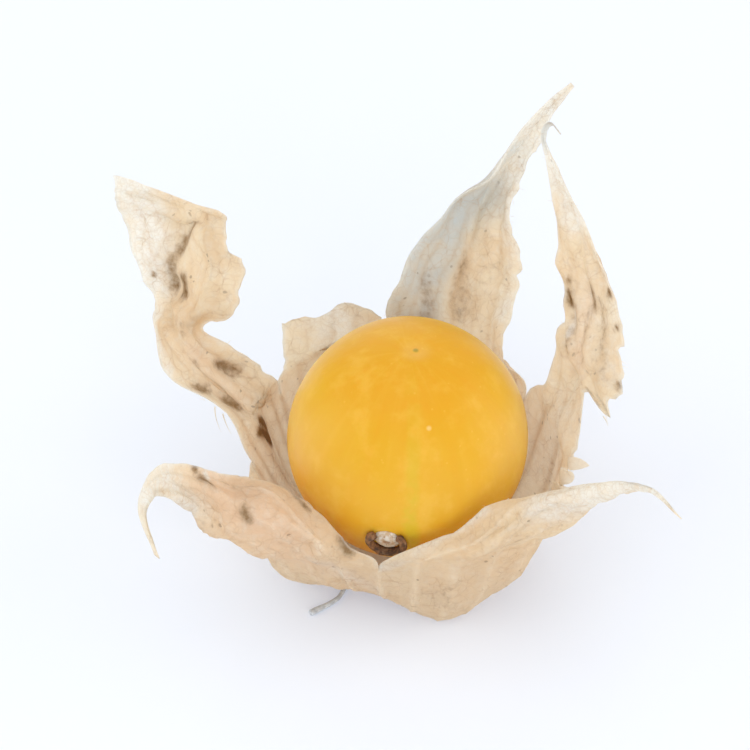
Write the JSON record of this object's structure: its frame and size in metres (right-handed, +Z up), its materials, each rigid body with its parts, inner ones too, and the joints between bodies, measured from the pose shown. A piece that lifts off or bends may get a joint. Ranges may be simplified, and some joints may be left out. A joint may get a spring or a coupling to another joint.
{
  "type": "ground cherry in open husk",
  "caption": "Round golden berry lying in its dry, torn-open papery husk with a thin stem; rests on a table, the berry inside the husk.",
  "frame": {"origin": "on the table, under the middle of the whole object's box", "axes": "+Z up from the table; +Y away from the picture's viewer, towards the husk's back lobe; +X to the viewer's right"},
  "size_m": [0.046, 0.0494, 0.0335],
  "materials": {
    "berry": "satin",
    "husk": "matte",
    "stem": "matte"
  },
  "bodies": {
    "root": {"berry": "berry", "husk": "husk", "stem": "stem"}
  },
  "joints": []
}
